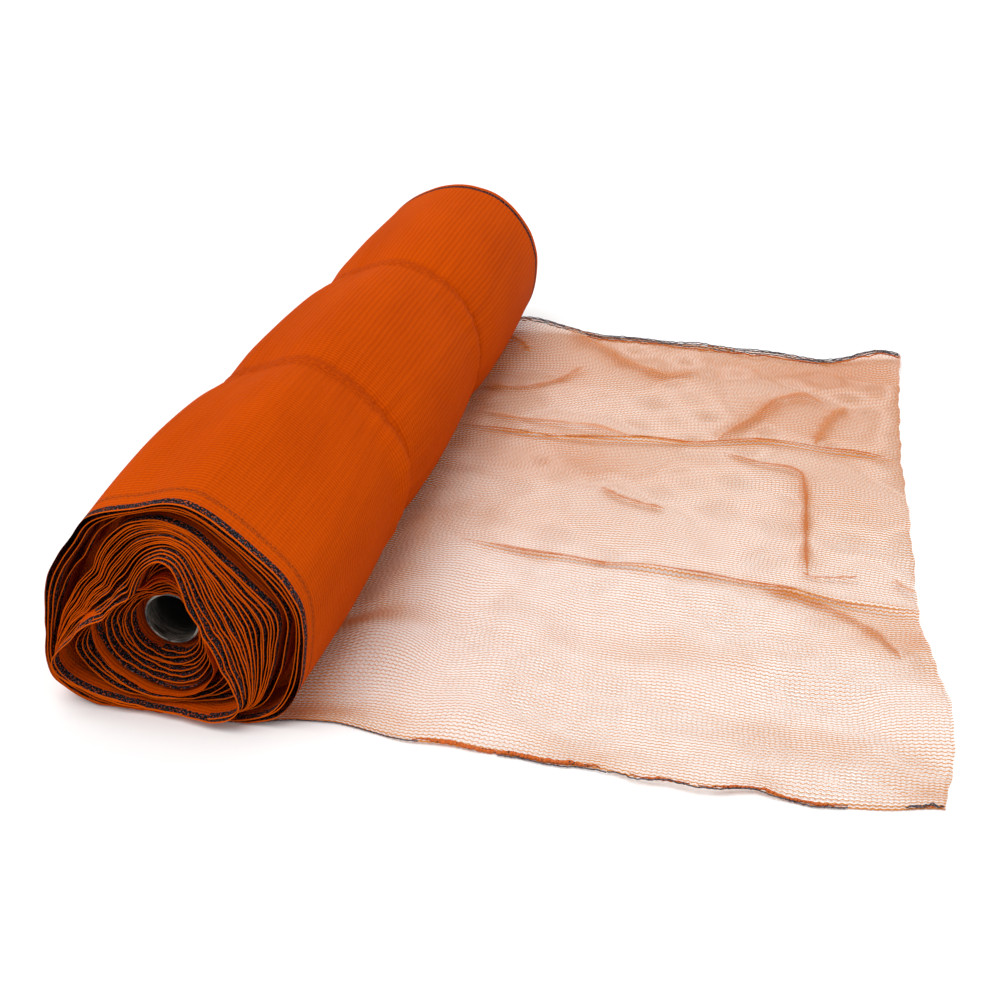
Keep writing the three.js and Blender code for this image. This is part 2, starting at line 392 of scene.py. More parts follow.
def makeWoundCloth(look):
    # Wound netting, many turns deep, so it is opaque: knitted rows across the width, stitches along it, the
    # black selvedge with its grey specks, the dotted rows beside it and the two darker bands. The gaps
    # between rows and stitches are painted shade in the darker deep orange.
    material, shader = startMaterial("knittedNettingWound")
    flat = flatPlace()
    along, across = splitPlace(flat)
    solid = objectPlace()
    width = cloth["width"] / 1000
    fromEdge = mathNode("MINIMUM", across, minus(width, across))
    wobble = noiseNode(solid, 9.0)
    rowPhase = plus(across, times(wobble, 0.012))
    rows = sineEvery(rowPhase, cloth["rowPitch"])
    ribPhase = plus(along, times(wobble, 0.009))
    ribs = sineEvery(ribPhase, cloth["stitchPitch"])
    fine = noiseNode(solid, 420.0, 2.0, 0.6)
    broad = noiseNode(solid, 5.0, 3.0, 0.6, (1.0, 0.35, 1.0))
    streak = noiseNode(flat, 1.0, 2.0, 0.5, (95.0, 2.6, 1.0))
    # Painted shade: the gaps between rows and between stitches take the darker deep orange.
    rowGapShade = rangeNode(rows, -1.0, 0.4, 1.0, 0.0)
    ribShow = rangeNode(across, 0.35, 1.1, 0.08, 0.27)
    stitchGapShade = times(rangeNode(ribs, -1.0, 0.6, 1.0, 0.0), ribShow)
    rowGapShade = times(rowGapShade, rangeNode(across, 0.5, 1.4, 0.40, 0.20))
    # The gaps are painted shade; the streaks and the broad and fine patches are random tone.
    shade = plus(plus(rowGapShade, stitchGapShade), times(streak, 0.22))
    shade = plus(shade, times(minus(broad, 0.5), 0.9))
    shade = plus(shade, times(minus(fine, 0.5), 0.9), clamp=True)
    colour = mixColour(shade, look["lit"], look["deep"])
    dots = rangeNode(noiseNode(flat, 1.0, 1.0, 0.5, (260.0, 330.0, 1.0)), 0.42, 0.60)
    for place in bands:
        middle = width / 2 + place / 1000
        band = bandMask(across, middle - look["bandHalf"], middle + look["bandHalf"], 0.012)
        rowsOfDots = noiseNode(flat, 1.0, 1.0, 0.5, (90.0, 230.0, 1.0))
        rowsOfDots = rangeNode(rowsOfDots, 0.42, 0.62, 0.10, 0.80)
        colour = mixColour(times(band, rowsOfDots), colour, look["band"])
    farSide = rangeNode(across, width / 2 - 0.001, width / 2 + 0.001)
    nearSide = minus(1.0, farSide)
    dotted = times(bandMask(fromEdge, *look["dottedRows"], 0.003), dots)
    dotted = times(times(dotted, nearSide), 0.75)
    colour = mixColour(dotted, colour, look["dotted"])
    nearBand = times(bandMask(fromEdge, *look["nearSelvedge"], 0.0012), nearSide)
    farBand = times(bandMask(fromEdge, *look["farSelvedge"], 0.0015), farSide)
    selvedge = higher(nearBand, farBand)
    specks = rangeNode(noiseNode(flat, 1.0, 1.0, 0.5, (300.0, 420.0, 1.0)), 0.56, 0.68)
    orange = rangeNode(noiseNode(flat, 1.0, 1.0, 0.5, (210.0, 260.0, 3.0)), 0.58, 0.68)
    dark = mixColour(specks, look["selvedge"], look["speck"])
    dark = mixColour(orange, dark, look["lit"])
    colour = mixColour(selvedge, colour, dark)
    rim = rangeNode(fromEdge, 0.0035, 0.0055, 1.0, 0.0)
    colour = mixColour(rim, colour, look["rim"])
    setSockets(shader, {"Base Color": colour, "Roughness": look["roughness"], "Specular IOR Level": 0.02})
    height = times(rows, 0.30)
    for pattern, share in ((ribs, 0.16), (streak, 1.3), (fine, 0.5)):
        height = plus(height, times(pattern, share))
    addBump(shader, height, 0.6, 0.0016)
    return material


looseLook = {
    "thread": (0.59, 0.207, 0.014),
    # crease is a darker thread orange for denser cloth: doubled threads, and partly painted shade in the creases
    "crease": (0.56, 0.135, 0.010),
    "threadShare": 0.20,  # how much of a row is thread, before creases
    "crossShare": 0.08,
    "zigzag": 1.5,  # mm, how far a row swings to each side
    "flow": 0.020,  # m, how far the rows wander by themselves
}


def makeLooseCloth(look):
    # One layer of netting: zigzag rows of thread and the stitches that join them, with open gaps between.
    # Where the cloth is creased, doubled or gathered, the attribute "dense" widens the threads.
    material, shader = startMaterial("knittedNettingOpen")
    along, across = splitPlace(flatPlace())
    pitch, stitch = cloth["rowPitch"] / 1000, cloth["stitchPitch"] / 1000
    dense = attributeNode("dense")
    solid = objectPlace()
    drift = times(minus(noiseNode(solid, 3.2, 1.5), 0.5), look["flow"])
    swing = mathNode("PINGPONG", plus(along, drift), stitch / 2)
    swing = times(swing, look["zigzag"] / 1000 / (stitch / 4))
    rowPlace = mathNode("DIVIDE", plus(plus(across, swing), drift), pitch)
    offRow = offMiddle(rowPlace)
    patchy = noiseNode(solid, 26.0)
    uneven = times(plus(times(patchy, 0.5), 0.75), look["threadShare"])
    halfRow = plus(uneven, dense)
    rowCover = rangeNode(minus(offRow, halfRow), -0.05, 0.07, 1.0, 0.0)
    rowNumber = newNode("ShaderNodeTexWhiteNoise")
    rowNumber.noise_dimensions = "1D"
    link(mathNode("FLOOR", rowPlace), rowNumber.inputs["W"])
    crossPlace = plus(mathNode("DIVIDE", along, stitch * 0.75), rowNumber.outputs["Value"])
    offCross = offMiddle(crossPlace)
    halfCross = plus(dense, look["crossShare"])
    crossCover = rangeNode(minus(offCross, halfCross), -0.10, 0.26, 0.34, 0.0)
    cover = higher(rowCover, crossCover)
    cover = higher(cover, rangeNode(dense, 0.35, 1.0), clamp=True)
    # Denser cloth takes the darker crease orange: doubled threads, and in the creases partly painted shade.
    colour = mixColour(rangeNode(dense, 0.05, 0.55), look["thread"], look["crease"])
    setSockets(shader, {"Base Color": colour, "Alpha": cover, "Roughness": 0.7, "Specular IOR Level": 0.2})
    return material


threadLook = {
    "orange": (0.62, 0.12, 0.01),
    "black": (0.02, 0.017, 0.02),
    "grey": (0.13, 0.11, 0.14),
}


def makeTwistedThread(name, ground, fleck, share, tight):
    # A twisted edge yarn: the ground colour with flecks of the other one, in slanting turns.
    material, shader = startMaterial(name)
    along, across = splitPlace(flatPlace())
    solid = objectPlace()
    spot = noiseNode(solid, tight, 2.0, 0.6)
    twist = mathNode("SINE", times(plus(along, across), 900.0))
    mixed = rangeNode(plus(spot, times(twist, 0.05)), 1 - share - 0.04, 1 - share + 0.04)
    setSockets(shader, {"Base Color": mixColour(mixed, ground, fleck), "Roughness": 0.75})
    addBump(shader, twist, 1.0, 0.001)
    return material


tubeLook = {"plastic": (0.018, 0.017, 0.015), "scuffAndHighlight": (0.42, 0.40, 0.35)}


def makeTubePlastic(look):
    # Recycled dark plastic pipe with lighter scuffs that run round and along it, and fine dirt. The scuffs
    # gather near each end, so they also paint the light falling into the bore's mouth, as highlight rings.
    material, shader = startMaterial("scuffedTubePlasticLitMouth")
    solid = objectPlace()
    fromMiddle = mathNode("ABSOLUTE", splitPlace(solid)[1])
    scuffsAndLitMouth = rangeNode(noiseNode(solid, 60.0, 4.0, 0.7, (0.35, 2.2, 0.35)), 0.40, 0.64)
    # Painted light: the scuffs fade out away from the ends, a painted highlight at the bore's mouth.
    scuffsAndLitMouth = times(scuffsAndLitMouth, rangeNode(fromMiddle, 0.86, 0.922, 0.05, 1.0))
    dirt = noiseNode(solid, 900.0, 2.0, 0.6)
    share = times(scuffsAndLitMouth, rangeNode(dirt, 0.25, 0.7, 0.45, 1.0))
    colour = mixColour(share, look["plastic"], look["scuffAndHighlight"])
    setSockets(shader, {"Base Color": colour, "Roughness": rangeNode(scuffsAndLitMouth, 0.0, 1.0, 0.38, 0.62)})
    addBump(shader, plus(dirt, scuffsAndLitMouth), 0.4, 0.0006)
    return material


woundCloth = makeWoundCloth(woundLook)
looseCloth = makeLooseCloth(looseLook)
hemYarn = makeTwistedThread("hemYarn", threadLook["orange"], threadLook["black"], 0.36, 150.0)
darkYarn = makeTwistedThread("darkYarn", threadLook["black"], threadLook["grey"], 0.52, 220.0)
print("materials ready")


def finishPiece(piece, material):
    piece.data.materials.append(material)
    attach(piece, "root")
    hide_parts("netting")


# The outermost turn, from selvedge to selvedge.
outerTurn = {
    "aroundSteps": 300,
    "acrossSteps": 316,
    "bandSqueeze": 12.0,
    "bandReach": 90.0,
    "bandRib": 2.4,  # the band's own thickness, standing on the squeezed part
    "bandRibReach": 17.0,
    "bellyRise": 7.0,
    "shoulderSwell": 17.0,
    "shoulderSide": 125.0,  # degrees, where the cloth swells out behind the near end
    "shoulderPlace": -560.0,
    "shoulderReach": 330.0,
    "wrinkle": 1.1,
    # where the cloth bulges in front of a band's crease on the right side: its place along the roll, its
    # direction in degrees, its height, and the crease's depth
    "pillows": [(-333.0, 10.0, 25.0, 18.0), (333.0, 22.0, 13.0, 11.0)],
    # each one's way along the roll from that place, its slant by the degree, its reach along and round it
    "bulge": (-46.0, 0.5, 44.0, 27.0),
    "bulgeCrease": (12.0, 0.3, 17.0, 38.0),
    "edgeSway": 3.0,
    # how far the upper left side lies off the rest along the roll, followed from the photograph
    "upperLeft": [(-1000, 0), (-900, 9), (-700, 0), (-450, -9), (-200, 2), (0, 2), (200, 2), (333, -3),
                  (600, -6), (1000, 0)],
    "upperLeftSide": 142.0,  # degrees
    "upperLeftReach": 42.0,
}
nearRim, farRim = radiusAround(nearOutlines["rim"], 3.5), radiusAround(farOutline, 5.0)


def outerRadius(angle, y, s):
    # Radius of the outermost turn: from the near outline to the far one, squeezed at the two bands, fuller
    # between them, swollen at one shoulder behind the near end; makeOuterTurn adds the small wrinkles along the
    # roll.
    half = cloth["width"] / 2
    share = smooth((y + half) / (2 * half))
    radius = readRadius(nearRim, angle) * (1 - share) + readRadius(farRim, angle) * share
    radius = radius + s["bellyRise"] * np.cos(3 * np.pi * y / (2 * half)) ** 2
    for place in bands:
        radius = radius - s["bandSqueeze"] * hump(y, place, s["bandReach"])
        radius = radius + s["bandRib"] * hump(y, place, s["bandRibReach"])
    lean = np.maximum(0, np.cos(angle - math.radians(s["shoulderSide"])))
    radius = radius + s["shoulderSwell"] * lean * hump(y, s["shoulderPlace"], s["shoulderReach"])
    for place, side, height, depth in s["pillows"]:
        off = offSide(angle, 0) - side
        for rise, (away, slant, reach, turn) in ((height, s["bulge"]), (-depth, s["bulgeCrease"])):
            radius = radius + rise * hump(y, place + away + slant * off, reach) * hump(off, 0, turn)
    off = offSide(angle, 0) % 360 - s["upperLeftSide"]
    return radius + readTrace(s["upperLeft"], y, 60) * hump(off, 0, s["upperLeftReach"])


def makeOuterTurn(s):
    half = cloth["width"] / 2
    angle = (np.arange(s["aroundSteps"]) * 2 * np.pi / s["aroundSteps"])[None]
    y = np.linspace(-half, half, s["acrossSteps"])[:, None]
    radius = outerRadius(angle, y, s)
    gather = sum(hump(y, place, 150.0) for place in bands)
    wrinkle = softNoise(3, 5 * angle + 0.4 * np.sin(y / 190), 12) * (0.5 + gather)
    radius = radius + s["wrinkle"] * wrinkle * smooth((half - np.abs(y)) / 120)
    x, z = aroundAxis(angle, radius)
    z = np.maximum(z, cloth["floorGap"])
    sway = s["edgeSway"] * softNoise(7, 3 * angle, 12) * (hump(y, -half, 50) - hump(y, half, 50))
    grid = stacked(x, y + sway, z)
    around = np.linalg.norm(np.diff(np.concatenate([grid, grid[:, :1]], 1), axis=1), axis=2)
    length = np.concatenate([[0], np.cumsum(around.mean(0))])[None]
    uv = stacked(length / 1000, (y + half) / 1000)
    return clothMesh("netting_outer_turn", grid, uv, wrap=True)


piece = makeOuterTurn(outerTurn)
finishPiece(piece, woundCloth)
print("outer turn:", len(piece.data.polygons) * 2, "triangles")


# The turns that show on the near end: one spiral strip of cloth with its selvedge towards the viewer.
nearTurns = {
    "stepsPerTurn": 190,
    "startAngle": 250.0,  # degrees, where the innermost turn begins
    "turnNumbers": [0, 8, 13, 19, 31, 32, 34],
    "turnLevels": [0.03, 0.235, 0.38, 0.56, 0.90, 0.962, 0.992],
    "outlineLevels": [0.0, 0.235, 0.38, 0.56, 0.90, 1.0],
    # how far the turns' selvedges stand out from the roll's end, by their level
    "standLevels": [0.0, 0.12, 0.222, 0.245, 0.27, 0.355, 0.372, 0.40, 0.44, 0.48, 0.56, 0.72, 0.90, 0.93,
                    0.96, 1.0],
    "standOut": [-66, -44, -18, -2, -26, -34, 38, 34, 20, 8, 3, -2, -10, -22, -6, 0],
    "plainLevels": [0.2, 0.223, 0.25, 0.262],  # the loop whose cloth is turned over, so that no selvedge shows
    "plainShift": [0, 24, 24, 0],
    "sway": 5.0,  # how far a turn's edge wanders in and out
    "wander": 1.2,  # how far a turn wanders across its neighbours
    "bunching": 2.3,  # how far a whole turn lies off its even place
    "depth": 125.0,  # the strip's width that is built
    "floorRise": 22.0,  # how much higher above the floor the innermost turn's lowest place may be
    "thickness": 1.6,
    "lowSide": 252.0,  # degrees, the flat underside, where the fold stands out less
    "lowReach": 46.0,
    "lowShare": 0.30,
    "foldFrom": 0.24,  # the levels between which the proud fold stands out
    "foldTo": 0.9,
    "flare": 12.0,  # how far the fold's turns lean outwards behind their selvedges, on its left side
    "flareSide": 150.0,
    "flareReach": 42.0,
    "flareFrom": 0.33,
    "flareTo": 0.66,
}


def levelRadius(level, angle, tables, levels):
    # Radius of a turn at a level from 0 at the tube to 1 at the rim: straight between the two outlines
    # that the level lies between.
    stack = np.stack([readRadius(t, angle) for t in tables])
    place = np.clip(np.searchsorted(levels, level, side="right") - 1, 0, len(levels) - 2)
    low, high = np.array(levels)[place], np.array(levels)[place + 1]
    share = (level - low) / (high - low)
    column = np.arange(len(level))
    return stack[place, column] * (1 - share) + stack[place + 1, column] * share


def makeTurns(name, s, tables, end, seed):
    # Each point of the spiral has an angle and a level; its strip is a thin folded section: the outer face
    # from the depth up to the rounded selvedge, and the inner face back down. end is -1 for the near end.
    half, last = cloth["width"] / 2, s["turnNumbers"][-1]
    count = last * s["stepsPerTurn"] + 1
    turn = np.linspace(0, last, count)
    angle = 2 * np.pi * turn + math.radians(s["startAngle"])
    level = np.interp(turn, s["turnNumbers"], s["turnLevels"])
    radius = levelRadius(level, angle, tables, s["outlineLevels"])
    chance = np.random.default_rng(seed)
    whole = np.floor(turn).astype(int)
    part = turn - whole
    ease = part * part * (3 - 2 * part)
    own = chance.normal(size=last + 2)
    ownNow = own[whole] * (1 - ease) + own[whole + 1] * ease
    turned = turn * 2 * np.pi
    slow, quick = softNoise(seed + 1, turned * 0.61, 7), softNoise(seed + 2, turned * 3.3, 7)
    sway = s["sway"] * (0.55 * ownNow + 0.6 * slow + 0.35 * quick)
    wander = s["wander"] * (softNoise(seed + 3, turned * 0.83, 8) + 0.6 * softNoise(seed + 4, turned * 4.1, 8))
    calm = smooth((1.0 - level) / 0.03)
    lie = chance.uniform(-1, 1, size=last + 2)
    wander = wander + s["bunching"] * (lie[whole] * (1 - ease) + lie[whole + 1] * ease)
    radius = radius + wander * calm * smooth(level / 0.1)
    stand = np.interp(level, s["standLevels"], s["standOut"])
    low = hump(offSide(angle, s["lowSide"]), 0, s["lowReach"]) * smooth((level - s["foldFrom"]) / 0.04)
    stand = stand * (1 - (1 - s["lowShare"]) * low * (level < s["foldTo"])) + sway * calm
    x, z = aroundAxis(angle, radius)
    z = np.maximum(z, cloth["floorGap"] + s["floorRise"] * (1 - level))
    step = np.hypot(np.diff(x), np.diff(z))
    length = np.concatenate([[0], np.cumsum(step)])
    alongX, alongZ = np.gradient(x), np.gradient(z)
    size = np.hypot(alongX, alongZ)
    outX, outZ = alongZ / size, -alongX / size  # points away from the tube, as the turns run anticlockwise
    t, deep = s["thickness"] / 2, s["depth"]
    # section: distance back from the selvedge, offset outwards, distance on the cloth from the selvedge
    back = np.array([deep, 70, 45, 22, 8, 1.2, 0.0, 0.0, 1.2, 8, 22, 45, 70, deep])
    offset = np.array([1, 1, 1, 1, 1, 1, 0.5, -0.5, -1, -1, -1, -1, -1, -1]) * t
    lean = s["flare"] * hump(offSide(angle, s["flareSide"]), 0, s["flareReach"])
    lean = lean * smooth((level - s["flareFrom"]) / 0.04) * smooth((s["flareTo"] - level) / 0.12)
    offset = offset + lean[:, None] * smooth(back / 48)
    grid = np.empty((count, len(back), 3))
    grid[..., 0] = x[:, None] + outX[:, None] * offset
    grid[..., 2] = np.maximum(z[:, None] + outZ[:, None] * offset, 2.5)
    grid[..., 1] = end * (half + stand[:, None] - back)
    shift = np.interp(level, s["plainLevels"], s["plainShift"])
    across = (back + 2.0 + shift[:, None]) / 1000
    uv = stacked(length[:, None] / 1000, across)
    if end < 0:
        grid, uv = grid[:, ::-1], uv[:, ::-1]
    return clothMesh(name, grid, uv)


flatTube = np.full_like(everyDirection, cloth["tubeRadius"] + 1.5)
nearInner = [radiusAround(nearOutlines[k], 2.5) for k in ("loop", "foldIn", "foldOut", "arch")]
nearTables = [flatTube, *nearInner, nearRim]
piece = makeTurns("netting_near_turns", nearTurns, nearTables, -1, 11)
finishPiece(piece, woundCloth)
print("near turns:", len(piece.data.polygons) * 2, "triangles")


# The turns on the far end, which the photograph doesn't show: rounder, even, and slightly cupped.
farTurns = dict(
    nearTurns,
    stepsPerTurn=120,
    turnNumbers=[0, 10, 20, 32],
    turnLevels=[0.03, 0.33, 0.64, 0.992],
    outlineLevels=[0.0, 1.0],
    standLevels=[0.0, 0.3, 0.6, 0.85, 1.0],
    standOut=[-60, -30, -12, -3, 0],
    plainLevels=[0.0, 1.0],
    plainShift=[0, 0],
    sway=4.0,
    wander=1.0,
    bunching=1.2,
    flare=0.0,
)
piece = makeTurns("netting_far_turns", farTurns, [flatTube, farRim], 1, 29)
finishPiece(piece, woundCloth)
print("far turns:", len(piece.data.polygons) * 2, "triangles")


# The inner ends behind the turns: a dished sheet of cloth edges that closes the gaps between turns.
backing = {
    "aroundSteps": 180,
    "rings": 40,
    "depth": 100.0,  # behind the roll's end
    "dish": 12.0,
    "ripple": 2.0,
    "clear": 4.0,  # above the lowest turns
}


def makeBacking(name, s, tables, levels, end):
    # From the tube out to the last turn on straight radii, set back from the selvedges, deepest near the tube.
    steps = s["aroundSteps"]
    angle = (np.arange(steps) * 2 * np.pi / steps)[None]
    rings = np.linspace(0.0, 0.985, s["rings"])
    radius = np.stack([levelRadius(np.full(steps, v), angle[0], tables, levels) for v in rings])
    level = rings[:, None]
    x, z = aroundAxis(angle, radius)
    z = np.maximum(z, cloth["floorGap"] + s["clear"] + nearTurns["floorRise"] * (1 - level))
    behind = s["depth"] + s["dish"] * (1 - level) - s["ripple"] * np.sin(level * 110 + angle)
    grid = stacked(x, end * (cloth["width"] / 2 - behind), z)
    wide = np.concatenate([angle, [[2 * np.pi]]], 1)
    uv = stacked(wide * 0.2, 0.1 + level * 0.2)
    if end > 0:
        grid, uv = grid[::-1], uv[::-1]
    return clothMesh(name, grid, uv, wrap=True)


for name, tables, levels, end in (
    ("netting_near_backing", nearTables, nearTurns["outlineLevels"], -1),
    ("netting_far_backing", [flatTube, farRim], farTurns["outlineLevels"], 1),
):
    finishPiece(makeBacking(name, backing, tables, levels, end), woundCloth)
print("turn backings made")


# The loose end on the floor.
looseEnd = {
    "start": 20.0,  # under the roll
    "reach": 1305.0,
    # the cut end's x at places across the cloth, and the two long edges' y and the far edge's lift along it,
    # followed from the photograph
    "cutEnd": [(-1000, 1357), (-906, 1367), (-789, 1380), (-667, 1374), (-505, 1346), (-354, 1322),
               (-156, 1321), (110, 1310), (340, 1299), (689, 1298), (1000, 1303)],
    "rowLines": {  # how far a row of the cloth lies off its straight place, by the row, as (x, drift)
        -1000: [(58, -1), (171, 25), (265, 38), (338, 23), (400, 8), (587, 6), (697, 0), (806, -14),
                (948, -31), (1048, -13), (1116, -19), (1200, -22), (1282, -8), (1357, 12)],
        -900: [(190, -10), (234, 4), (320, 12), (414, -7), (503, 20), (601, 8), (684, -18), (900, -30),
               (1300, -12)],
        -700: [(150, -30), (199, 34), (246, 80), (319, 58), (410, -8), (497, 25), (598, 28), (701, -9),
               (800, -17), (896, -21), (993, -48), (1108, -57), (1199, -60), (1267, -15), (1375, 0)],
        -560: [(180, -50), (230, 10), (290, 44), (360, 20), (414, 1), (488, 44), (571, 24), (658, -15),
               (783, -36), (1300, -10)],
        -333: [(185, -75), (250, 20), (352, 66), (472, 41), (653, 23), (871, 17), (999, -1), (1080, -21),
               (1167, -47), (1240, -63), (1319, -63)],
        0: [(185, -90), (260, -10), (340, 25), (600, 10), (900, 10), (1300, -10)],
        333: [(185, -15), (307, -29), (407, -45), (546, -57), (683, -35), (817, -13), (890, 7), (952, 27),
              (1040, 14), (1128, -3), (1297, -6)],
        700: [(185, -50), (300, -6), (640, -4), (900, -22), (1100, -24), (1300, -8)],
        1000: [(164, 0), (470, -8), (590, -11), (709, -26), (857, -62), (1028, -83), (1111, -83),
               (1200, -55), (1304, -28)],
    },
    "farLift": [(90, 0), (164, 30), (219, 44), (269, 38), (373, 12), (470, 0), (640, 4), (735, 9), (800, 0),
                (1100, 0), (1165, 13), (1249, 34), (1304, 8)],
    "swellHeight": 13.0,
    "swellLength": 740.0,
    "swellWidth": 1070.0,
    "bandRidge": 7.0,
    "ridgeReach": 22.0,
    "layFlat": 200.0,
    "middle": 1.6,  # the cloth's own middle above its underside
    "foot": (175.0, 60.0),  # the low gather at the roll's foot: its x and its reach
    "footHeight": 3.0,
    "pucker": 2.0,
    # how much wider the threads are drawn at each place, the last one as a share of a crease's own number
    "dense": {"foot": 0.14, "roll": 0.04, "far": 0.18, "end": 0.05, "edge": 0.25, "cut": 0.10, "crease": 0.30},
    "creaseSpread": 3.2,  # half-widths of a crease over which that happens
    "lengthSteps": 232,
    "widthSteps": 372,
}
# Creases read from the photograph as (x, y) on the floor in millimetres, each with its height, its
# half-width, how much denser the cloth is there (less than 0 where its rows stand apart), and how sharp
# its core line is, from 0 to 1.
creases = [
    ([(181, 318), (307, 304), (407, 288), (546, 276), (683, 298), (817, 320), (890, 340), (952, 360),
      (1040, 347), (1128, 330), (1300, 327)], 7, 8, 0.42, 1.0),
    ([(330, -255), (400, -275), (472, -292), (653, -310), (760, -312), (871, -316), (999, -334), (1080, -354),
      (1167, -380), (1240, -396), (1322, -396)], 7, 8, 0.42, 0.9),
    ([(867, 280), (960, 228), (1036, 209), (1066, 176), (1080, 72), (1091, -210), (1099, -288)],
     5, 9, 0.26, 0.75),
    ([(1085, -266), (1099, -290), (1209, -279)], 3, 5, 0.10, 0.8),
    ([(598, 36), (644, -12), (704, -35), (769, -47)], 4, 9, 0.22, 0.7),
    ([(850, 350), (921, 467), (987, 599), (1046, 636), (1108, 589)], 8, 13, 0.40, 0.45),
    ([(1090, 374), (1123, 517), (1167, 600)], 5, 13, 0.26, 0.1),
    ([(1003, -350), (1066, -368), (1118, -386), (1190, -433), (1249, -488), (1290, -556)], 6, 10, 0.24, 0.45),
    ([(1276, -271), (1296, -311), (1322, -337)], 3, 7, 0.16, 0.4),
    ([(1285, -361), (1318, -419), (1345, -520), (1366, -640)], 4, 16, 0.40, 0.0),
    ([(682, -407), (757, -409), (803, -443), (843, -568), (905, -620), (1022, -632), (1136, -633)],
     4, 20, 0.20, 0.0),
    ([(336, 984), (408, 918), (474, 877), (530, 797), (654, 720), (760, 760)], 7, 18, 0.30, 0.15),
    ([(163, 874), (228, 848), (269, 795)], 7, 11, 0.32, 0.8),
    ([(180, 560), (240, 566), (313, 582), (386, 643), (442, 724)], 5, 11, 0.24, 0.45),
    ([(191, 410), (353, 375), (467, 345), (560, 320), (640, 302)], 5, 8, 0.26, 0.5),
    ([(441, 282), (519, 210), (590, 86)], 4, 18, 0.14, 0.0),
    ([(220, -144), (236, -335), (232, -444), (214, -589)], 5, 14, 0.24, 0.0),
    ([(388, -322), (529, -347), (665, -369), (837, -377)], 0, 26, -0.28, 0.0),
    ([(246, -625), (319, -655), (410, -716), (497, -680), (598, -680), (701, -716), (896, -730), (1108, -765),
      (1199, -770), (1280, -712), (1376, -690)], 0, 16, -0.34, 0.0),
    ([(1270, -960), (1326, -890), (1357, -950)], 3, 22, 0.20, 0.0),
]


def distanceTo(path, x, y):
    # Distance from each grid point to the nearest of the path's straight runs, and how far along the path
    # that nearest place is, from 0 to 1.
    points = np.array(path, float)
    runs = np.hypot(*np.diff(points, axis=0).T)
    travelled = np.concatenate([[0], np.cumsum(runs)])
    best, along = np.full(x.shape, 1e9), np.zeros(x.shape)
    for k in range(len(runs)):
        a, b = points[k], points[k + 1]
        share = np.clip(((x - a[0]) * (b[0] - a[0]) + (y - a[1]) * (b[1] - a[1])) / runs[k] ** 2, 0, 1)
        away = np.hypot(x - a[0] - share * (b[0] - a[0]), y - a[1] - share * (b[1] - a[1]))
        closer = away < best
        best = np.where(closer, away, best)
        along = np.where(closer, (travelled[k] + share * runs[k]) / travelled[-1], along)
    return best, along


def looseHeight(x, v, s):
    # Height of the cloth's underside: long low swells that die out where it leaves the roll, a ridge along
    # each band, and the far edge lifted beside the roll.
    clear = smooth((x - s["layFlat"]) / s["layFlat"])
    across, along = 2 * np.pi * x / s["swellLength"], 2 * np.pi * v / s["swellWidth"]
    swell = np.sin(across + 1.6 * along) * np.cos(along - 0.4 * across)
    ridge = hump(np.abs(v), cloth["bandPlace"], s["ridgeReach"])
    lift = readTrace(s["farLift"], x, 25) * smooth(3 * (v / 1000) - 2)
    return np.maximum(0, clear * (s["swellHeight"] * swell + s["bandRidge"] * ridge) + lift)


def rowDrift(x, v, s):
    # How far the cloth at v is drawn across the floor, eased between the row lines on either side of v.
    lines = sorted(s["rowLines"])
    x, v = np.broadcast_arrays(x, np.clip(v, lines[0], lines[-1]))
    drift = np.zeros(x.shape)
    for low, high in zip(lines[:-1], lines[1:]):
        share = smooth((v - low) / (high - low))
        one, other = (readTrace(s["rowLines"][k], x, 20) for k in (low, high))
        drift = np.where((v >= low) & (v <= high), one * (1 - share) + other * share, drift)
    return drift * smooth((x - 60) / 120)


def loosePlace(share, v, s):
    # share runs from 0 under the roll to 1 at the cut end; v is the place across the cloth, whose rows
    # follow the row lines.
    cut = readTrace(s["cutEnd"], v, 18) + 1.6 * np.sin(v / 29) + 1.2 * np.sin(v / 11 + 1)
    x = s["start"] + share * (cut - s["start"])
    ripple = smooth((x - 300) / 300) * smooth((np.abs(v) - 930) / 70)
    y = v + rowDrift(x, v, s)
    return x, y + ripple * np.where(v < 0, 2.5 * np.sin(x / 23) + 3 * np.sin(x / 41 + 2), 2.5 * np.sin(x / 37))


def creaseStrength(path, x, y):
    # Distance from a crease, and how strong it is there: it fades at its ends and swells along its way.
    away, along = distanceTo(path, x, y)
    ends = smooth(along / 0.08) * smooth((1 - along) / 0.08)
    return away, ends * (0.75 + 0.25 * np.sin(along * 23 + path[0][0]))


def looseSurface(x, y, v, s):
    # The cloth's middle: its underside's swells, a low gather at the roll's foot, the creases as narrow
    # ridges, and a faint pucker that dies out at the edges.
    rollFoot = hump(x, *s["foot"]) * smooth((x - 60) / 80)
    gather = s["footHeight"] * rollFoot * (1 + np.sin(y / 23 + 2 * np.sin(y / 90)))
    z = looseHeight(x, v, s) + s["middle"] + gather
    for path, height, reach, more, core in creases:
        away, strength = creaseStrength(path, x, y)
        z = z + height * strength * hump(away, 0, max(13, 1.5 * reach))
    inside = smooth((1000 - np.abs(v)) / 60) * smooth((1300 - x) / 60) * smooth((x - 250) / 200)
    return z + s["pucker"] * inside * (np.sin(x / 37 + y / 61) * np.sin(y / 43 - x / 83) + 1)


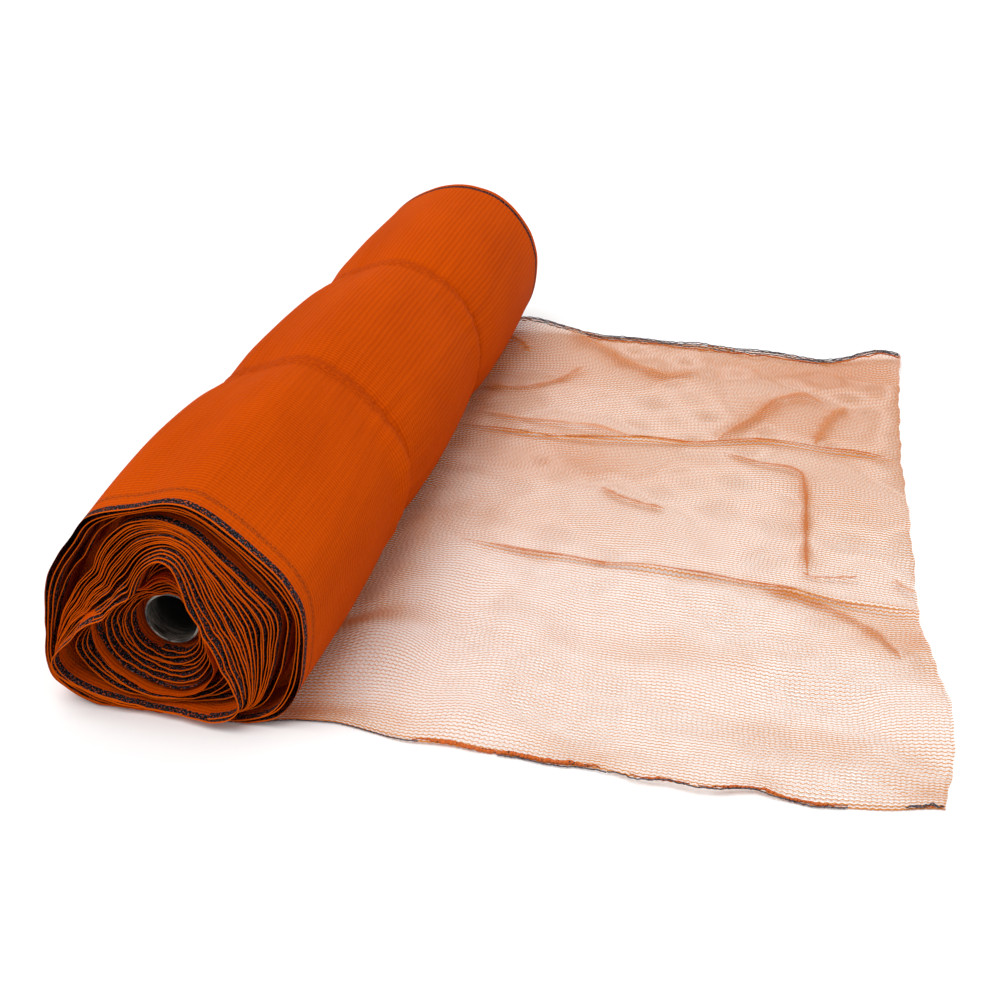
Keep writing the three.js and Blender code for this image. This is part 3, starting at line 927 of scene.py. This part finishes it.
def makeLooseEnd(s):
    half = cloth["width"] / 2
    share = np.linspace(0, 1, s["lengthSteps"])[None]
    v = np.linspace(-half, half, s["widthSteps"])[:, None]
    x, y = loosePlace(share, v, s)
    z = looseSurface(x, y, v, s)
    more = s["dense"]
    dense = more["foot"] * hump(x, 190, 45) + more["roll"] * hump(x, 190, 150) + 0.01
    dense = dense + more["far"] * smooth((y + 700) / 1700)
    dense = dense + more["end"] * smooth((x - 900) / 300) * smooth((y + 500) / 400)
    spread = np.gradient(y, axis=0) / np.gradient(v, axis=0)
    dense = dense + np.clip(0.22 * (1 / np.clip(spread, 0.4, 2) - 1), -0.08, 0.25)
    for path, height, reach, own, core in creases:
        away, strength = creaseStrength(path, x, y)
        dense = dense + own * strength * more["crease"] * hump(away, 0, s["creaseSpread"] * reach)
    dense = dense + more["edge"] * hump(half - np.abs(v), 0, 12)
    dense = dense + more["cut"] * hump((1 - share) * s["reach"], 0, 6)
    grid = stacked(x, y, z)
    uv = stacked(x / 1000, (v + half) / 1000)
    # rows run from the near selvedge to the far one and columns away from the roll, so the faces look up
    return clothMesh("netting_loose_end", grid, uv, shade={"dense": np.clip(dense, 0, 1)})


foldLook = {
    # core is the darker line of a crease: doubled cloth, and partly painted shade in the fold
    "core": (0.50, 0.105, 0.002),
    "side": (0.66, 0.20, 0.010),
    "threadPitch": 6.0,  # mm along the fold
}


def makeFoldCloth(look):
    # A narrow crease where the cloth lies double: a thin dense core line whose sides fade out, broken up
    # by the knit. The second coordinate runs across the fold from 0 to 1.
    material, shader = startMaterial("knittedNettingFold")
    along, across = splitPlace(flatPlace())
    solid = objectPlace()
    off = times(mathNode("ABSOLUTE", minus(across, 0.5)), 2.0)
    broken = noiseNode(solid, 55.0, 3.0, 0.7)
    core = rangeNode(minus(off, times(broken, 0.30)), -0.04, 0.16, 1.0, 0.0)
    core = times(core, attributeNode("sharp"))
    side = rangeNode(off, 0.0, 0.95, 0.62, 0.0)
    thread = sineEvery(along, look["threadPitch"])
    side = times(side, rangeNode(thread, -0.8, 0.9, 0.45, 1.0))
    cover = higher(times(core, rangeNode(broken, 0.30, 0.60, 0.60, 1.0)), side)
    # The core's darker orange is partly doubled cloth and partly painted shade in the fold.
    colour = mixColour(core, look["side"], look["core"])
    setSockets(shader, {"Base Color": colour, "Alpha": cover, "Roughness": 0.7, "Specular IOR Level": 0.1})
    return material


foldShape = {
    "step": 4.0,  # mm along the fold
    "rounding": 14.0,  # mm over which its corners are averaged
    "acrossPoints": 9,
    "clear": 1.4,  # mm above the cloth's middle
    "rise": 0.25,  # the share of the crease's height that the pleat stands above the cloth
}


def easedPath(points, s):
    # The path walked at even steps, its corners rounded by averaging over a short way.
    points, step, wide = np.array(points, float), s["step"], 24
    travelled = np.concatenate([[0], np.cumsum(np.hypot(*np.diff(points, axis=0).T))])
    walk = np.arange(0, travelled[-1], step)
    bell = np.exp(-0.5 * (np.arange(-wide, wide + 1) * step / s["rounding"]) ** 2)
    bell /= bell.sum()
    lines = (np.interp(walk, travelled, points[:, k]) for k in (0, 1))
    padded = (np.pad(line, wide, mode="reflect", reflect_type="odd") for line in lines)
    return np.stack([np.convolve(line, bell, "valid") for line in padded], -1)


def makeFold(name, s, path, height, halfWidth, core, surface):
    # A low pleat carried along the crease: across it the height above the cloth falls from the middle to
    # the sides, and towards both ends the pleat narrows to nothing.
    line = easedPath(path, s)
    ahead = headings(line)
    side = np.stack([-ahead[:, 1], ahead[:, 0]], -1)
    share = np.linspace(0, 1, len(line))
    narrow = 0.15 + 0.85 * smooth(share / 0.15) * smooth((1 - share) / 0.15)
    narrow = narrow * (1 + 0.25 * np.sin(share * 31 + path[0][0]))
    across = np.linspace(-1, 1, s["acrossPoints"])
    place = line[:, None] + side[:, None] * (across[None, :, None] * (halfWidth * narrow)[:, None, None])
    pleat = s["rise"] * height * (1 - np.abs(across))[None] * narrow[:, None]
    lift = surface(place[..., 0], place[..., 1]) + s["clear"] + pleat
    grid = np.concatenate([place, lift[..., None]], -1)
    length = share * len(line) * s["step"] / 1000
    uv = stacked(length[:, None], (across[None] + 1) / 2)
    return clothMesh(name, grid[:, ::-1], uv[:, ::-1], shade={"sharp": np.full(grid.shape[:2], core)})


loosePiece = makeLooseEnd(looseEnd)
finishPiece(loosePiece, looseCloth)
faces = loosePiece.data.polygons
print("loose end:", len(faces) * 2, "triangles, faces up:", faces[len(faces) // 2].normal.z > 0)


foldCloth = makeFoldCloth(foldLook)
for number, (path, height, reach, more, core) in enumerate(c for c in creases if c[4] > 0):
    name = f"netting_fold_{number + 1}"
    fold = makeFold(name, foldShape, path, height, 2.0 * reach, core, lambda x, y: looseSurface(x, y, y, looseEnd))
    finishPiece(fold, foldCloth)


# Edge yarns and the rolled hem along the two long edges of the loose end.
edgeYarns = {
    "radius": 1.25,
    "steps": 300,
    # the rolled hem of the near edge: a thick stretch, then thin uneven ones, like loosely rolled cloth,
    # each from one share of the edge to another, with its radius
    "hems": [(0.30, 0.56, 3.8), (0.60, 0.68, 2.6), (0.69, 0.88, 2.4), (0.955, 0.998, 3.0)],
    "hemPlace": -995.0,
    "hemSwing": (2.0, 1.5, 3.5),  # to the sides, up, and the lowest that its middle comes
    # place across the cloth, the shares of the edge between which it runs, swing to the sides and up,
    # thickness as a share of the radius, seed, material
    "near": [
        (-999.0, 0.03, 0.31, 1.0, 0.6, 1, 51, darkYarn), (-1003.0, 0.42, 0.57, 1.5, 0.8, 1, 58, darkYarn),
        (-1000.0, 0.57, 0.70, 2.5, 1.6, 1, 65, darkYarn), (-1001.0, 0.70, 0.88, 2.0, 1.2, 1, 72, darkYarn),
        (-996.0, 0.95, 0.998, 8.0, 3.0, 1, 79, darkYarn), (-990.0, 0.955, 0.99, 9.0, 4.0, 1, 86, darkYarn),
    ],
    "far": [
        (1000.0, 0.05, 0.998, 1.6, 1.4, 1.15, 81, darkYarn), (990.0, 0.05, 0.998, 2.4, 1.4, 1.15, 88, darkYarn),
        (978.0, 0.05, 0.998, 3.4, 1.4, 1.15, 95, darkYarn), (966.0, 0.30, 0.998, 3.0, 1.4, 1.6, 113, hemYarn),
    ],
}


def edgePath(v, span, s, swing, seed):
    # A yarn that follows the cloth at v, swinging a little to its sides and up, by seeded sines.
    share = np.linspace(*span, edgeYarns["steps"])
    x, y = loosePlace(share, np.full_like(share, v), s)
    z = looseHeight(x, np.full_like(share, v), s) + s["middle"]
    around = share * 2 * np.pi
    y = y + swing[0] * (softNoise(seed, 4 * around) + 0.6 * softNoise(seed + 1, 13 * around))
    z = z + swing[1] * (1.2 + softNoise(seed + 2, 6 * around) + 0.5 * softNoise(seed + 3, 17 * around))
    return stacked(x, y, np.maximum(z, swing[2])), share


def addYarn(name, path, radius, sides, material):
    piece = tubeAlong(name, path, radius, sides, path[:, 0] / 1000)
    finishPiece(piece, material)


for number, (start, stop, thick) in enumerate(edgeYarns["hems"]):
    path, share = edgePath(edgeYarns["hemPlace"], (start, stop), looseEnd, edgeYarns["hemSwing"], 41 + number)
    around = share * 2 * np.pi
    swellOut = 1 + 0.22 * softNoise(45 + number, around * 9) + 0.14 * softNoise(49, around * 37)
    taper = smooth((share - start) / 0.05) * smooth((stop - share) / 0.04)
    radius = np.clip(thick * swellOut * (0.3 + 0.7 * taper), 0.8, 6.0)
    path[:, 2] = np.maximum(path[:, 2], radius)
    addYarn(f"netting_near_hem_{number + 1}", path, radius, 8, hemYarn)
for edge, lowest in (("near", 2.6), ("far", 3.0)):
    for number, (v, start, stop, out, up, thick, seed, yarn) in enumerate(edgeYarns[edge]):
        path = edgePath(v, (start, stop), looseEnd, (out, up, lowest), seed)[0]
        addYarn(f"netting_{edge}_yarn_{number + 1}", path, edgeYarns["radius"] * thick, 6, yarn)


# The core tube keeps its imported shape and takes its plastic.
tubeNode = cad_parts["core_tube"]
tubePlastic = makeTubePlastic(tubeLook)
tubeNode.data.materials.clear()
tubeNode.data.materials.append(tubePlastic)
print("core tube finished")


# Floor and light: a pale floor, an even sky and one big soft lamp from above, a little left and in front.
studio = {
    "floorHalf": 40.0,
    "floorColour": (0.93, 0.93, 0.93),
    "sky": 0.72,
    "sunStrength": 1.85,
    "sunSoftness": 50.0,  # degrees
    "sunFrom": (-0.18, -0.26, 1.0),
}


def makeStudio(s):
    mesh = bpy.data.meshes.new("floor")
    h = s["floorHalf"]
    corners = [(x, y, -0.001) for x, y in ((-h, -h), (h, -h), (h, h), (-h, h))]
    mesh.from_pydata(corners, [], [(0, 1, 2, 3)])
    floor = newObject("floor", mesh)
    material, shader = startMaterial("paleFloor")
    setSockets(shader, {"Base Color": s["floorColour"], "Roughness": 0.9, "Specular IOR Level": 0.1})
    mesh.materials.append(material)
    world = bpy.data.worlds.new("studio")
    world.use_nodes = True
    background = world.node_tree.nodes["Background"]
    background.inputs["Color"].default_value = (1, 1, 1, 1)
    background.inputs["Strength"].default_value = s["sky"]
    bpy.context.scene.world = world
    lamp = bpy.data.lights.new("softLamp", "SUN")
    lamp.energy = s["sunStrength"]
    lamp.angle = math.radians(s["sunSoftness"])
    holder = newObject("softLamp", lamp)
    holder.rotation_mode = "QUATERNION"
    holder.rotation_quaternion = Vector(s["sunFrom"]).to_track_quat("Z", "Y")
    bpy.context.scene.view_settings.view_transform = "Standard"


makeStudio(studio)
print("studio ready")

print("scene ready")
